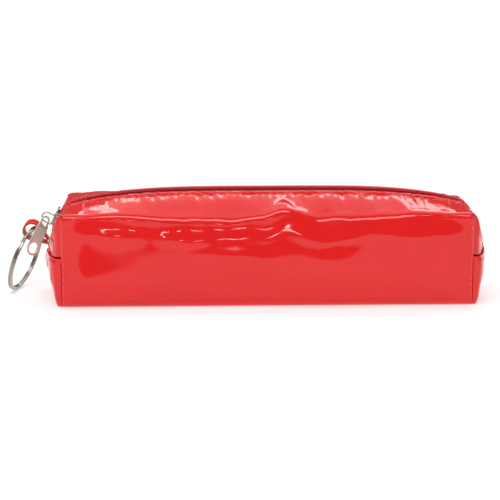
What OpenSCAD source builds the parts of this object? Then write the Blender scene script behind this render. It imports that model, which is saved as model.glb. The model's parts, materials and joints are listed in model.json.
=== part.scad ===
// Boxed zip-top pouch in patent vinyl, with a side loop, split ring and zip puller.
// +X runs along the zip, -Y is the front, +Z is up. The origin is the middle of the base.

/* [Pouch] */
// Length between the two end seams
body_l = 200; // [190:1:210]
// Depth from front face to back face
body_d = 50; // [47:1:53]
// Height of the long creases at the top of the front and back faces
crease_h = 45; // [43:0.5:47]
// Height of the zip at mid length
zip_top = 54.3; // [53:0.1:56]
// How far the zip line has dropped where it reaches the ends
zip_drop = 8.5; // [7:0.1:9]
// How far each end face bulges out at its middle
end_bulge = 6.4; // [5:0.1:7]
// Thickness of the vinyl
vinyl_t = 1.2; // [1.0:0.1:1.4]
// Thickness of the lining
lining_t = 0.4; // [0.3:0.1:0.5]

/* [Mouth] */
// Half the length of the two top flaps that open
flap_half_l = 74; // [66:1:78]
// Distance from the zip's centre line to the folded vinyl edges beside it
slot_half = 5.6; // [5.4:0.1:6.2]

/* [Zip] */
// Width of one row of coil
coil_w = 2.3; // [2.0:0.1:2.4]
// Thickness of the coil
coil_t = 1.5; // [1.3:0.1:1.6]
// Width of one tape from its sewn edge to its coil
tape_w = 12; // [10:0.5:13]
// Thickness of the tape
tape_t = 0.5; // [0.4:0.1:0.6]

/* [Slider] */
// Length of the slider
slider_l = 10; // [9:0.5:11]
// Width of the slider
slider_w = 8.4; // [8:0.1:9]
// Inner radius of the bridge that holds the pull tab
bridge_r = 2.05; // [2:0.05:2.2]
// Thickness of the bridge's band
bridge_t = 0.7; // [0.6:0.1:0.8]
// Width of the bridge across the zip
bridge_w = 1; // [0.8:0.1:1.1]

/* [Pull tab] */
// Length of the pull tab from the top of its eye to its tip
pull_l = 20.4; // [19:0.1:20.5]
// Width of the pull tab
pull_w = 7.5; // [7.2:0.1:7.6]
// Thickness of the pull tab
pull_t = 0.9; // [0.7:0.1:1]
// Radius of the hole near the tip
pull_hole_r = 2.7; // [2.2:0.1:2.8]
// Inner radius of the eye at the top
eye_r = 1.9; // [1.8:0.05:1.95]
// Width of the eye's rim
eye_rim = 0.75; // [0.65:0.05:0.8]

/* [Loop and ring] */
// Width of the strap that makes the loop
strap_w = 7; // [6:0.5:8]
// Thickness of the strap
strap_t = 1.1; // [0.9:0.1:1.3]
// Outer radius of the loop's round end
loop_r = 4.6; // [4.4:0.1:4.8]
// Distance of the loop and ring behind the zip line
loop_y = 13; // [12.5:0.5:13.5]
// Radius of the split ring at the middle of its wire
ring_r = 16; // [15:0.5:16]
// Width of the ring's wire, measured along the ring's radius
ring_wire = 1.8; // [1.6:0.1:2.0]
// Height of the ring's two turns together
ring_t = 2; // [1.8:0.1:2.2]

/* [Hidden] */
$fn = 64;
half_l = body_l / 2;
half_d = body_d / 2;
seam_h = 24;               // height of the sewn seam across each end face
crease_y = half_d - 0.6;   // hinge line of a flap
crease_z = crease_h - 0.6;
wall_top = crease_h - 1.8;
gap = 0.3;
base_r = 4;                // rounding of the long bottom edges
top_end = half_l - 2.5;    // where the top starts to turn down at a corner seam
end_turn = 3.5;            // how much earlier it turns down on the zip line
corner_drop = 2.5;         // height that the turn takes at a corner seam
zip_corner_drop = 19;      // more height that it takes on the zip line
pole_out = 2;              // the turn's middle point, outside the seam line
pole_sink = 2.6;           // and below the start of the turn
n_top = 3;                 // steps along the top of an end piece
n_turn = 6;                // steps round its turn

vinyl = "#e23a35";
lining_colour = "#6b1518";
thread = "#c8252b";
tape_red = "#b8202a";
coil_red = "#a51a25";
nickel = "#b9b5a8";

// --- Shape of the soft shell -------------------------------------------------

// Height of the zip line at x, without the dome across the depth
function arch(x) = zip_top - zip_drop * pow(abs(x) / half_l, 4);
// 1 on the zip line and 0 at the long creases
function dome(y) = 1 - pow(min(1, abs(y) / half_d), 1.35);
function roof(x, y) = crease_h + (arch(x) - crease_h) * dome(y);
// 1 in the middle of an end face and 0 at its corner seams
function bulge(y) = 1 - pow(min(1, abs(y) / half_d), 2);

function mix(a, b, t) = a * (1 - t) + b * t;
function bezier(p, q, r, t) = mix(mix(p, q, t), mix(q, r, t), t);

// Key points, as [x, z], of the curve that the shell follows over the left end at y
function turn_start(y) = [-(top_end - end_turn * bulge(y)), roof(top_end - end_turn * bulge(y), y)];
function turn_pole(y) = [-(half_l + pole_out * bulge(y)), turn_start(y)[1] - pole_sink * bulge(y)];
function turn_end(y) = [
    -(half_l + (end_bulge - 0.2) * bulge(y)),
    turn_start(y)[1] - corner_drop - zip_corner_drop * bulge(y)
];
function seam_point(y) = [-(half_l + end_bulge * bulge(y)), seam_h];

// The same curve as a list of points, moved inwards by o
function end_curve(y, o, x_from) = concat(
    [for (k = [0 : n_top - 1]) let (x = mix(x_from, turn_start(y)[0], k / n_top)) [x, y, roof(x, y) - o]],
    [for (k = [0 : n_turn])
        let (t = k / n_turn, p = bezier(turn_start(y), turn_pole(y), turn_end(y), t))
        [p[0] + o * t, y, p[1] - o * (1 - t)]],
    [[seam_point(y)[0] + o, y, seam_point(y)[1] + gap / 2]]
);

// --- Closed solids between two grids of points ------------------------------

function flat_list(rows) = [for (r = rows) for (p = r) p];
function turned(face, back) = back ? [face[2], face[1], face[0]] : face;

function sheet_faces(nu, nv, back) = let (n = nu * nv) [
    for (i = [0 : nu - 2]) for (j = [0 : nv - 2])
        let (a = i * nv + j, b = a + 1, c = a + nv + 1, d = a + nv)
        for (f = [[a, b, c], [a, c, d], [a + n, c + n, b + n], [a + n, d + n, c + n]]) turned(f, back),
    for (i = [0 : nu - 2]) let (a = i * nv, d = a + nv)
        for (f = [[a, d, d + n], [a, d + n, a + n]]) turned(f, back),
    for (i = [0 : nu - 2]) let (b = i * nv + nv - 1, c = b + nv)
        for (f = [[c, b, b + n], [c, b + n, c + n]]) turned(f, back),
    for (j = [0 : nv - 2]) let (a = j, b = j + 1)
        for (f = [[b, a, a + n], [b, a + n, b + n]]) turned(f, back),
    for (j = [0 : nv - 2]) let (d = (nu - 1) * nv + j, c = d + 1)
        for (f = [[d, c, c + n], [d, c + n, d + n]]) turned(f, back)
];

// outer and inner are lists of rows of points, row by row the same size
module sheet_solid(outer, inner, back = false) {
    polyhedron(
        points = concat(flat_list(outer), flat_list(inner)),
        faces = sheet_faces(len(outer), len(outer[0]), back),
        convexity = 6
    );
}

function steps(a, b, n) = [for (k = [0 : n]) mix(a, b, k / n)];

// A strip that lies under the top of a flap, from o_top to o_low below its surface
module flap_strip(y_from, y_to, o_top, o_low, across = 4, along = 18, trim = 0) {
    xs = steps(-(flap_half_l - trim), flap_half_l - trim, along);
    ys = steps(y_from, y_to, across);
    sheet_solid(
        [for (x = xs) [for (y = ys) [x, y, roof(x, y) - o_top]]],
        [for (x = xs) [for (y = ys) [x, y, roof(x, y) - o_low]]]
    );
}

// A strip that follows the left end's curve, from o_top to o_low inwards, keeping rows up to last_row
module end_strip(y_from, y_to, o_top, o_low, across = 3, last_row = n_top + n_turn + 1) {
    ys = steps(y_from, y_to, across);
    x_from = -(flap_half_l + gap);
    tops = [for (y = ys) end_curve(y, o_top, x_from)];
    lows = [for (y = ys) end_curve(y, o_low, x_from)];
    sheet_solid(
        [for (k = [0 : last_row]) [for (j = [0 : across]) tops[j][k]]],
        [for (k = [0 : last_row]) [for (j = [0 : across]) lows[j][k]]],
        back = true
    );
}

module to_right() { mirror([1, 0, 0]) children(); }
module to_back() { mirror([0, 1, 0]) children(); }

// --- Outer shell --------------------------------------------------------------

// Front wall and the front half of the base, in one length of vinyl
module wall_profile() {
    difference() {
        union() {
            translate([-half_d, base_r]) square([base_r, wall_top - base_r]);
            translate([-half_d + base_r, 0]) square([half_d - base_r, base_r]);
            translate([-half_d + base_r, base_r]) circle(base_r);
        }
        translate([-half_d + vinyl_t, base_r]) square([half_d, wall_top]);
        translate([-half_d + base_r, vinyl_t]) square([half_d, base_r]);
        translate([-half_d + base_r, base_r]) circle(base_r - vinyl_t);
    }
}
panel_half_l = half_l - vinyl_t - 0.2;
module along_x(half) { translate([-half, 0, 0]) rotate([90, 0, 90]) linear_extrude(2 * half) children(); }

module front_panel() { color(vinyl) along_x(panel_half_l) wall_profile(); }
module back_panel() { color(vinyl) to_back() along_x(panel_half_l) wall_profile(); }

module front_strip_shape() { flap_strip(-crease_y, -slot_half, 0, vinyl_t); }
module front_top_strip() { color(vinyl) front_strip_shape(); }
module back_top_strip() { color(vinyl) to_back() front_strip_shape(); }

module end_upper_shape() { end_strip(-half_d, -slot_half, 0, vinyl_t, across = 5); }
module left_end_upper_front() { color(vinyl) end_upper_shape(); }
module left_end_upper_back() { color(vinyl) to_back() end_upper_shape(); }
module right_end_upper_front() { color(vinyl) to_right() end_upper_shape(); }
module right_end_upper_back() { color(vinyl) to_right() to_back() end_upper_shape(); }

function lower_x(y, z) = -(half_l + end_bulge * bulge(y) * (1 - pow((seam_h - z) / seam_h, 2)));
module end_lower_shape() {
    zs = steps(0, seam_h - gap / 2, 6);
    ys = steps(-half_d, half_d, 12);
    sheet_solid(
        [for (z = zs) [for (y = ys) [lower_x(y, z), y, z]]],
        [for (z = zs) [for (y = ys) [lower_x(y, z) + vinyl_t, y, z]]]
    );
}
module left_end_lower() { color(vinyl) end_lower_shape(); }
module right_end_lower() { color(vinyl) to_right() end_lower_shape(); }

// --- Lining -------------------------------------------------------------------

lining_y = half_d - vinyl_t - 0.3;
lining_z = 2.3;
lining_half_l = half_l - 3.5;
lining_r = 3;  // rounding of the lining along the base
module lining_profile() {
    translate([-lining_y, lining_z + lining_r]) square([lining_t, wall_top - 2 - lining_z - lining_r]);
    translate([-lining_y + lining_r, lining_z]) square([lining_y - lining_r, lining_t]);
    intersection() {
        translate([-lining_y, lining_z]) square(lining_r);
        translate([-lining_y + lining_r, lining_z + lining_r]) difference() {
            circle(lining_r);
            circle(lining_r - lining_t);
        }
    }
}
module lining_front() { color(lining_colour) along_x(lining_half_l) lining_profile(); }
module lining_back() { color(lining_colour) to_back() along_x(lining_half_l) lining_profile(); }

facing_top = vinyl_t + tape_t + 0.3;
module facing_shape() {
    flap_strip(-(crease_y - 2), -(slot_half + 1), facing_top, facing_top + lining_t, across = 3, trim = 0.5);
}
module lining_front_strip() { color(lining_colour) facing_shape(); }
module lining_back_strip() { color(lining_colour) to_back() facing_shape(); }

// --- Bound seams inside ---------------------------------------------------------

base_binding = [2 * lining_half_l, 10, 0.8];
end_binding = [3, 34, 1.4];
corner_binding_w = 5.5;
binding_low = 3;
module base_seam_binding() {
    color(lining_colour) translate([-lining_half_l, -base_binding[1] / 2, vinyl_t + 0.1]) cube(base_binding);
}
module end_seam_shape() {
    translate([-(half_l - 0.2), -end_binding[1] / 2, seam_h - end_binding[2] / 2]) cube(end_binding);
}
module left_end_seam_binding() { color(lining_colour) end_seam_shape(); }
module right_end_seam_binding() { color(lining_colour) to_right() end_seam_shape(); }

module corner_seam_shape() {
    translate([-(half_l - 1.5), -(half_d - 1.6), binding_low])
        cube([1.1, corner_binding_w, wall_top - 2 * binding_low]);
}
module front_left_corner_binding() { color(lining_colour) corner_seam_shape(); }
module back_left_corner_binding() { color(lining_colour) to_back() corner_seam_shape(); }
module front_right_corner_binding() { color(lining_colour) to_right() corner_seam_shape(); }
module back_right_corner_binding() { color(lining_colour) to_right() to_back() corner_seam_shape(); }

// --- Topstitching ---------------------------------------------------------------

stitch = [2.3, 0.5, 0.35];
stitch_pitch = 3.5;
stitch_y = slot_half + 2.4;
module topstitch_row() {
    n = floor((flap_half_l - 3) / stitch_pitch);
    slope = atan((roof(0, -stitch_y + 0.5) - roof(0, -stitch_y - 0.5)));
    for (k = [-n : n])
        translate([k * stitch_pitch, -stitch_y, roof(k * stitch_pitch, -stitch_y) + 0.25])
            rotate([slope, 0, 0]) cube(stitch, center = true);
}
module front_topstitch() { color(thread) topstitch_row(); }
module back_topstitch() { color(thread) to_back() topstitch_row(); }

module corner_stitch_row() {
    for (z = [base_r + 2 : stitch_pitch : wall_top - 3])
        translate([-(panel_half_l - 1.6), -half_d - stitch[2], z]) cube([stitch[1], stitch[2], stitch[0]]);
}
module front_corner_stitching() {
    color(thread) {
        corner_stitch_row();
        to_right() corner_stitch_row();
    }
}
module back_corner_stitching() {
    color(thread) to_back() {
        corner_stitch_row();
        to_right() corner_stitch_row();
    }
}

// --- Zip --------------------------------------------------------------------------

tape_top = vinyl_t + 0.1;
tape_inner = 1.1;
coil_inner = 0.15;
coil_low = tape_top - 0.05;
coil_high = coil_low - coil_t;
module tape_shape() {
    flap_strip(-(tape_inner + tape_w), -tape_inner, tape_top, tape_top + tape_t, across = 3, trim = 0.2);
}
coil_outer = coil_inner + coil_w;
module coil_shape() { flap_strip(-coil_outer, -coil_inner, coil_high, coil_low, across = 1, along = 24); }
module zip_tape_front() { color(tape_red) tape_shape(); }
module zip_tape_back() { color(tape_red) to_back() tape_shape(); }
module zip_coil_front() { color(coil_red) coil_shape(); }
module zip_coil_back() { color(coil_red) to_back() coil_shape(); }

module end_tape_pair() {
    end_strip(-(tape_inner + tape_w), -tape_inner, tape_top, tape_top + tape_t);
    to_back() end_strip(-(tape_inner + tape_w), -tape_inner, tape_top, tape_top + tape_t);
}
module end_coil_pair(last_row) {
    end_strip(-coil_outer, -coil_inner, coil_high, coil_low, across = 1, last_row = last_row);
    to_back() end_strip(-coil_outer, -coil_inner, coil_high, coil_low, across = 1, last_row = last_row);
}
module zip_tape_left_end() { color(tape_red) end_tape_pair(); }
module zip_tape_right_end() { color(tape_red) to_right() end_tape_pair(); }
// On the left the coils part at the slider; on the right they run on to the seam
module zip_coil_left_end() { color(coil_red) end_coil_pair(n_top + 3); }
module zip_coil_right_end() { color(coil_red) to_right() end_coil_pair(n_top + n_turn); }

// --- Slider -----------------------------------------------------------------------

// The slider rests where the zip turns down the left end, at this part of the turn
rest_t = 0.54;
rest = bezier(turn_start(0), turn_pole(0), turn_end(0), rest_t);
rest_run = mix(turn_pole(0) - turn_start(0), turn_end(0) - turn_pole(0), rest_t);
rest_pitch = atan(rest_run[1] / rest_run[0]);
// In the slider's own frame x runs along the zip towards the right end and z points out of the pouch
module at_slider() { translate([rest[0], 0, rest[1]]) rotate([0, -rest_pitch, 0]) children(); }

plate_t = 1.1;
post_w = 1.6;      // the post that joins the two plates
top_plate_z = 0.9;
low_plate_z = -2.6;
bridge_x = -2.8;
bridge_leg = 2.4;
bridge_z = top_plate_z + plate_t + bridge_leg;

module notch(x, y, side) { translate([x, y]) rotate(45) square(side, center = true); }
// A plate with cut corners and a nick in its nose
module slider_plate(z) {
    translate([0, 0, z]) linear_extrude(plate_t) difference() {
        square([slider_l, slider_w], center = true);
        for (s = [-1, 1]) notch(slider_l / 2, s * slider_w / 2, 2.6);
        for (s = [-1, 1]) notch(-slider_l / 2, s * slider_w / 2, 1.4);
        notch(-slider_l / 2, 0, 1.6);
    }
}
module slider_body() {
    color(nickel) at_slider() {
        slider_plate(top_plate_z);
        slider_plate(low_plate_z - plate_t);
        translate([-slider_l / 2 + 1.3, -post_w / 2, low_plate_z - 0.1])
            cube([post_w, post_w, top_plate_z - low_plate_z + 0.2]);
    }
}
// Side view of the bridge, with its round top about the origin
module bridge_arch() {
    outer = bridge_r + bridge_t;
    difference() {
        union() {
            circle(outer);
            translate([-outer, -bridge_leg]) square([2 * outer, bridge_leg]);
        }
        circle(bridge_r);
        translate([-bridge_r, -2 * outer]) square([2 * bridge_r, 2 * outer]);
        translate([-2 * outer, -2 * outer]) square([4 * outer, 2 * outer - bridge_leg]);
    }
}
module slider_bridge() {
    color(nickel) at_slider() translate([bridge_x, bridge_w / 2, bridge_z])
        rotate([90, 0, 0]) linear_extrude(bridge_w) bridge_arch();
}

// Metal stops: two beside the slider's nose, one across both coils at the far end
module top_stops() {
    color(nickel) translate([turn_end(0)[0] - 0.35, 0, seam_h + 3]) {
        for (s = [-1, 1]) translate([0, s * 2.3 - 0.7, 0]) cube([1.3, 1.4, 1.8]);
    }
}
module bottom_stop() {
    color(nickel) translate([-turn_end(0)[0] - 1.14, -2.4, seam_h + 0.4]) cube([1.7, 4.8, 1.2]);
}

// --- Pull tab -----------------------------------------------------------------------

pull_hang = 25;    // swing of the tab's tip away from the pouch
pull_lean = 18;    // lean of its tip towards the front
pull_twist = 42;   // turn of its face
pull_side = 0.44;  // how far behind the bridge's middle the top of the eye lies
// The top of the eye's rim lies inside the bridge, and one leg of the bridge passes through the eye
module at_pull() {
    at_slider() translate([bridge_x, pull_side, bridge_z]) rotate([0, rest_pitch, 0])
        rotate([0, pull_hang, 0]) rotate([-pull_lean, 0, 0]) rotate([0, 0, pull_twist]) children();
}
module plate(t) { translate([0, t / 2, 0]) rotate([90, 0, 0]) linear_extrude(t) children(); }
eye_top = -eye_rim / 2 - eye_r;  // centre of the eye's round top
eye_low = eye_top - 0.9;         // centre of its round foot
hole_z = -(pull_l - pull_w / 2);
module pull_outline() {
    neck = eye_r + eye_rim;
    half = pull_w / 2;
    hull() {
        translate([0, eye_top]) circle(neck);
        translate([0, eye_low]) circle(neck);
    }
    polygon([
        [-neck + 0.02, eye_low], [neck - 0.02, eye_low], [half - 0.35, eye_low - 2.6],
        [half - 0.01, hole_z], [-half + 0.01, hole_z], [-half + 0.35, eye_low - 2.6]
    ]);
    translate([0, hole_z]) circle(half);
}
panel_top = eye_low - eye_r - 1;
panel_low = hole_z + pull_hole_r + 0.5;
module pull_tab() {
    color(nickel) at_pull() difference() {
        plate(pull_t) pull_outline();
        plate(pull_t + 1) translate([0, eye_top]) circle(eye_r);
        plate(pull_t + 1) translate([0, eye_low]) circle(eye_r);
        plate(pull_t + 1) translate([-eye_r, eye_low]) square([2 * eye_r, eye_top - eye_low]);
        plate(pull_t + 1) translate([0, hole_z]) circle(pull_hole_r);
        // Shallow panel between the raised edges, on both faces
        for (s = [-1, 1]) translate([0, s * (pull_t / 2 + 0.25), 0])
            plate(1) translate([-pull_w / 2 + 1.1, panel_low]) square([pull_w - 2.2, panel_top - panel_low]);
    }
}

// --- Loop and ring -----------------------------------------------------------------

loop_root = [-(half_l + end_bulge * bulge(loop_y - strap_w / 2) + 0.75), seam_h];
loop_rise = 36;    // slope of the loop away from the end face
loop_reach = 11.5; // distance from its root to the centre of its round end
module strap_loop() {
    color(vinyl) translate([loop_root[0], loop_y + strap_w / 2, loop_root[1]])
        rotate([90, 0, 0]) linear_extrude(strap_w) loop_band();
}
// Side view of the strap: two layers at the root that open round the ring
module loop_band() {
    c = [-loop_reach * cos(loop_rise), loop_reach * sin(loop_rise)];
    difference() {
        union() {
            translate(c) circle(loop_r);
            loop_wedge(loop_r - 0.01, 0.8, 0);
        }
        translate(c) circle(loop_r - strap_t);
        loop_wedge(loop_r - strap_t - 0.01, 0.1, 1.6);
    }
}
// Straight-sided part of the loop between its root and its round end
module loop_wedge(r, root_half, start) {
    touch = acos(r / loop_reach);
    rotate(180 - loop_rise) polygon([
        [start, -root_half], [start, root_half],
        [loop_reach - r * cos(touch), r * sin(touch)], [loop_reach, 0],
        [loop_reach - r * cos(touch), -r * sin(touch)]
    ]);
}

ring_c = [-119.3, loop_y, 16.4];
ring_tilt = 108.7; // angle of the ring's axis from the vertical
ring_yaw = -16;    // turn of the ring's axis about the vertical
module split_ring() {
    groove = 0.2;
    low = ring_r - ring_wire / 2;
    high = ring_r + ring_wire / 2;
    color(nickel) translate(ring_c) rotate([0, ring_tilt, ring_yaw]) rotate_extrude($fn = 96)
        polygon([
            [low, -ring_t / 2], [high, -ring_t / 2], [high, -groove / 2], [high - groove, 0],
            [high, groove / 2], [high, ring_t / 2], [low, ring_t / 2], [low, groove / 2],
            [low + groove, 0], [low, -groove / 2]
        ]);
}

front_panel();
back_panel();
front_top_strip();
back_top_strip();
left_end_upper_front();
left_end_upper_back();
left_end_lower();
right_end_upper_front();
right_end_upper_back();
right_end_lower();
lining_front();
lining_back();
lining_front_strip();
lining_back_strip();
base_seam_binding();
left_end_seam_binding();
right_end_seam_binding();
front_left_corner_binding();
back_left_corner_binding();
front_right_corner_binding();
back_right_corner_binding();
front_topstitch();
back_topstitch();
front_corner_stitching();
back_corner_stitching();
zip_tape_front();
zip_tape_back();
zip_coil_front();
zip_coil_back();
zip_tape_left_end();
zip_tape_right_end();
zip_coil_left_end();
zip_coil_right_end();
top_stops();
bottom_stop();
slider_body();
slider_bridge();
pull_tab();
strap_loop();
split_ring();
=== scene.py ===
"""Looks of the zip-top pouch in red patent vinyl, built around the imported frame."""
import json
import math
from functools import partial

import bpy
import numpy as np
from mathutils import Matrix, Vector


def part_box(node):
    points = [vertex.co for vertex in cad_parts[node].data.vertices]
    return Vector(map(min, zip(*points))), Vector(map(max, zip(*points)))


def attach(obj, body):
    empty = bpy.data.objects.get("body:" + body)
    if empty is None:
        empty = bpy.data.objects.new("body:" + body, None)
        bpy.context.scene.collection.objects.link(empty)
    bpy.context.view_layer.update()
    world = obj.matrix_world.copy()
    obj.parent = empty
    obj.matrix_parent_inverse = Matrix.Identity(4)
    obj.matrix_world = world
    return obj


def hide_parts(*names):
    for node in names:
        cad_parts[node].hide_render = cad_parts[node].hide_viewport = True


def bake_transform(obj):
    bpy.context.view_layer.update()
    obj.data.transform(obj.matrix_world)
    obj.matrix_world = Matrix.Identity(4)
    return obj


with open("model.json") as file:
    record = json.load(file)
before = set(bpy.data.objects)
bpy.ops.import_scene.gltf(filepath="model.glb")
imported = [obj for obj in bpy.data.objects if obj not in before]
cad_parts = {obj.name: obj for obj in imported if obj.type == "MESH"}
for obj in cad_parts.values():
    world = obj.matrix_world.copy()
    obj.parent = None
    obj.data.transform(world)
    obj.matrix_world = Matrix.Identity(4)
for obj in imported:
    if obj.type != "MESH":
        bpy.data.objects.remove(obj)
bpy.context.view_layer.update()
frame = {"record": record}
MM = 0.001
JOINTS = {joint["name"]: joint for joint in frame["record"]["behaviour"]["joints"]}


def box_mm(node):
    """Lowest and highest corners of a CAD node, in millimetres."""
    low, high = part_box(node)
    return np.array(low) / MM, np.array(high) / MM


# --- Sizes, in millimetres, from the frame --------------------------------------

WALL_LOW, WALL_HIGH = box_mm("front_panel")
FLAP_HIGH = box_mm("front_top_strip")[1]
END_LOW, END_HIGH = box_mm("left_end_lower")
SEAM_GAP = 0.15     # half of the gap that the CAD model leaves at a seam
CORNER_GAP = 1.4    # from the CAD wall's end to the corner of the box
CREASE_RISE = 1.8   # from the CAD wall's top to the crease's corner
HALF_D = -WALL_LOW[1]
HALF_L = WALL_HIGH[0] + CORNER_GAP
END_BULGE = -END_LOW[0] - HALF_L
SEAM_H = END_HIGH[2] + SEAM_GAP
FLAP_HALF = FLAP_HIGH[0]
SLOT_HALF = -FLAP_HIGH[1]
CREASE_H = WALL_HIGH[2] + CREASE_RISE
COIL_PROUD = 0.25   # how far the coil stands above the roof's line
ZIP_TOP = box_mm("zip_coil_front")[1][2] - COIL_PROUD
ZIP_DROP = 8.5      # how much lower the zip runs at the ends than in the middle
VINYL = 1.2
BASE_R = 4.0
CREASE_R = 2.5
HEM_R = 0.8         # round of the vinyl's edge beside the zip


# --- Shape of the soft shell ------------------------------------------------------

def smooth(t):
    """A soft step from 0 to 1 while t runs from 0 to 1."""
    t = np.clip(t, 0, 1)
    return t * t * (3 - 2 * t)


def arch(x):
    """Height of the zip's line along the pouch."""
    return ZIP_TOP - ZIP_DROP * (np.abs(x) / HALF_L) ** 4


def dome(y):
    """Share of the way from the crease up to the zip."""
    return 1 - np.minimum(1, np.abs(y) / HALF_D) ** 1.35


def roof(x, y):
    """Height of the top, from the creases up to the zip."""
    return CREASE_H + (arch(x) - CREASE_H) * dome(y)


def bulge(y):
    """How far the ends stand out across their width, 1 in the middle and 0 at the corners."""
    return 1 - np.minimum(1, np.abs(y) / HALF_D) ** 2


def waves(a, b, seed, count=5):
    """Smooth noise of a and b, about -1 to 1, from a few sines of seeded directions."""
    rng = np.random.default_rng(seed)
    total = np.zeros(np.broadcast(a, b).shape)
    for k in range(count):
        angle = rng.uniform(-0.9, 0.9)
        pitch = rng.uniform(0.7, 1.7)
        phase = rng.uniform(0, 2 * math.pi)
        total = total + np.sin(2 * math.pi * pitch * (a * math.cos(angle) + b * math.sin(angle)) + phase)
    return total / math.sqrt(count * 2)


# Along s, the length on the section from the base's middle up the wall to the slot.
S_BASE = HALF_D - BASE_R - SEAM_GAP
S_TURN = S_BASE + BASE_R * math.pi / 2
S_CREASE = S_TURN + CREASE_H - CREASE_R - BASE_R
S_SPLIT = S_CREASE + CREASE_R * math.pi / 4
S_ROOF = S_CREASE + CREASE_R * math.pi / 2
S_EDGE = S_ROOF + HALF_D - CREASE_R - SLOT_HALF - HEM_R
S_END = S_EDGE + HEM_R * math.pi / 2 + 0.6
STITCH_S = S_EDGE - 1.9
STITCH_PITCH = 3.5
WALL_END = HALF_L - 1.5


def profile(s):
    """Section at s: the distance out from the middle, the wall's height, and the drop below the roof."""
    arc = np.clip((s - S_BASE) / BASE_R, 0, math.pi / 2)
    y = np.where(s < S_BASE, s + SEAM_GAP, HALF_D - BASE_R + BASE_R * np.sin(arc))
    z = np.where(s < S_BASE, 0, BASE_R - BASE_R * np.cos(arc)) + np.clip(s - S_TURN, 0, S_CREASE - S_TURN)
    phi = np.clip((s - S_CREASE) / CREASE_R, 0, math.pi / 2)
    roll = np.clip((s - S_EDGE) / HEM_R, 0, math.pi / 2)
    y = np.where(s < S_CREASE, y, HALF_D - CREASE_R * (1 - np.cos(phi)))
    y = y - np.clip(s - S_ROOF, 0, S_EDGE - S_ROOF) - HEM_R * np.sin(roll)
    drop = CREASE_R * (1 - np.sin(phi)) + HEM_R * (1 - np.cos(roll))
    drop = drop + np.clip(s - S_EDGE - HEM_R * math.pi / 2, 0, None)
    return y, z, drop


def crease_sag(x):
    """How far the long crease hangs below its ends; two peaks stand up between the hollows."""
    reach = smooth((FLAP_HALF - 2 - np.abs(x)) / 26)
    peak = 3.6 * np.exp(-((x - 9) / 9.5) ** 2) + 1.3 * np.exp(-((x - 48) / 14) ** 2)
    return reach * (2.2 + 0.5 * waves(x / 52, 0, 3) + 0.35 * waves(x / 21, 0, 8) - peak)


def back_lift(x, s):
    """How far the back crease stands up towards the left end."""
    across = smooth((s - S_TURN - 18) / 18) * (1 - smooth((s - S_SPLIT - 4) / 12))
    return 2.4 * smooth((-x - 15) / 70) * across


def dents(x, s):
    """Soft waves of the vinyl, outwards, in millimetres."""
    near_crease = np.exp(-((s - S_CREASE - 1) / 11) ** 2)
    wall = smooth((s - S_TURN) / 10) * smooth((S_CREASE + 4 - s) / 8)
    ends = smooth((HALF_L - 3 - np.abs(x)) / 12)
    belly = 2.2 * np.sin(math.pi * np.clip((s - S_TURN) / (S_CREASE - S_TURN), 0, 1) ** 0.62)
    broad = belly + wall * (1.15 * waves((s - S_TURN) / 46, x / 120, 13) + 0.7 * waves(x / 90, s / 60, 12))
    shelf_s = S_CREASE - 7 + 1.3 * waves(x / 44, 0, 17)
    shelf = (0.42 + 0.22 * waves(x / 37, 0, 19)) * np.exp(-((s - shelf_s) / 3.0) ** 2)
    soft = shelf + 0.25 * waves(x / 43, s / 40, 5) * wall
    folds = near_crease * (0.42 * waves(x / 33, s / 36, 21) + 0.12 * waves(x / 14, s / 26, 14))
    top = smooth((s - S_ROOF) / 4) * smooth((S_EDGE + 0.5 - s) / 3)
    wrinkle = top * (0.40 * waves(x / 21, s / 26, 33) + 0.15 * waves(x / 8, s / 15, 35))
    return ends * (broad + soft + folds) + wrinkle


def pucker(x, s):
    """Dimples of the stitches and the raised hem beside them, outwards."""
    beside = s - STITCH_S
    row = np.exp(-(beside / 0.8) ** 2)
    hem = 0.35 * smooth((beside - 0.2) / 1.4)
    hole = 0.5 + 0.5 * np.cos(2 * math.pi * x / STITCH_PITCH)
    gather = np.exp(-(beside / 3.4) ** 2) * 0.13 * np.cos(2 * math.pi * x / STITCH_PITCH)
    drawn = np.exp(-(beside / 5.5) ** 2) * 0.22 * waves(x / 7.5, 0, 41)
    return hem - row * (0.28 + 0.18 * hole) + gather + drawn


def corner_recess(x):
    """How far the faces turn in at the corner seams."""
    inwards = 1 - np.clip((WALL_END - np.abs(x)) / 2.6, 0, 1)
    return 2.7 * (1 - np.sqrt(np.clip(1 - inwards ** 2, 0, 1)))


def tuck(y):
    """How far the edge of an end piece turns in at y, beside a corner seam."""
    return 1.8 * np.exp(-((HALF_D - np.abs(y)) / 2.4) ** 2)


def body_surface(x, s, lift=0):
    """Front half of the long shell, from the base's middle over the crease to the slot."""
    y, z, drop = profile(s)
    height = np.where(s > S_CREASE + 0.005, roof(x, y) - drop, z)
    sag = crease_sag(x) * smooth((s - S_TURN - 14) / 20) * (1 - smooth((s - S_SPLIT) / 12))
    phi = np.clip((s - S_CREASE) / CREASE_R, 0, math.pi / 2)
    out_y = np.where(s < S_TURN, np.sin(np.clip((s - S_BASE) / BASE_R, 0, math.pi / 2)), np.cos(phi))
    out_z = np.where(s < S_TURN, 0, np.sin(phi))
    out = dents(x, s) + pucker(x, s) * smooth((s - S_ROOF) / 4)
    keep = 1 - smooth((s - S_EDGE - 0.5) / 0.8)
    recess = corner_recess(x) * smooth((s - S_BASE) / 6) * (1 - smooth((s - S_CREASE) / 8))
    y = y + out_y * out * keep - recess
    height = height + out_z * out * keep - sag + lift * back_lift(x, s)
    return np.stack([x, -y, height], -1)


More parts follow.
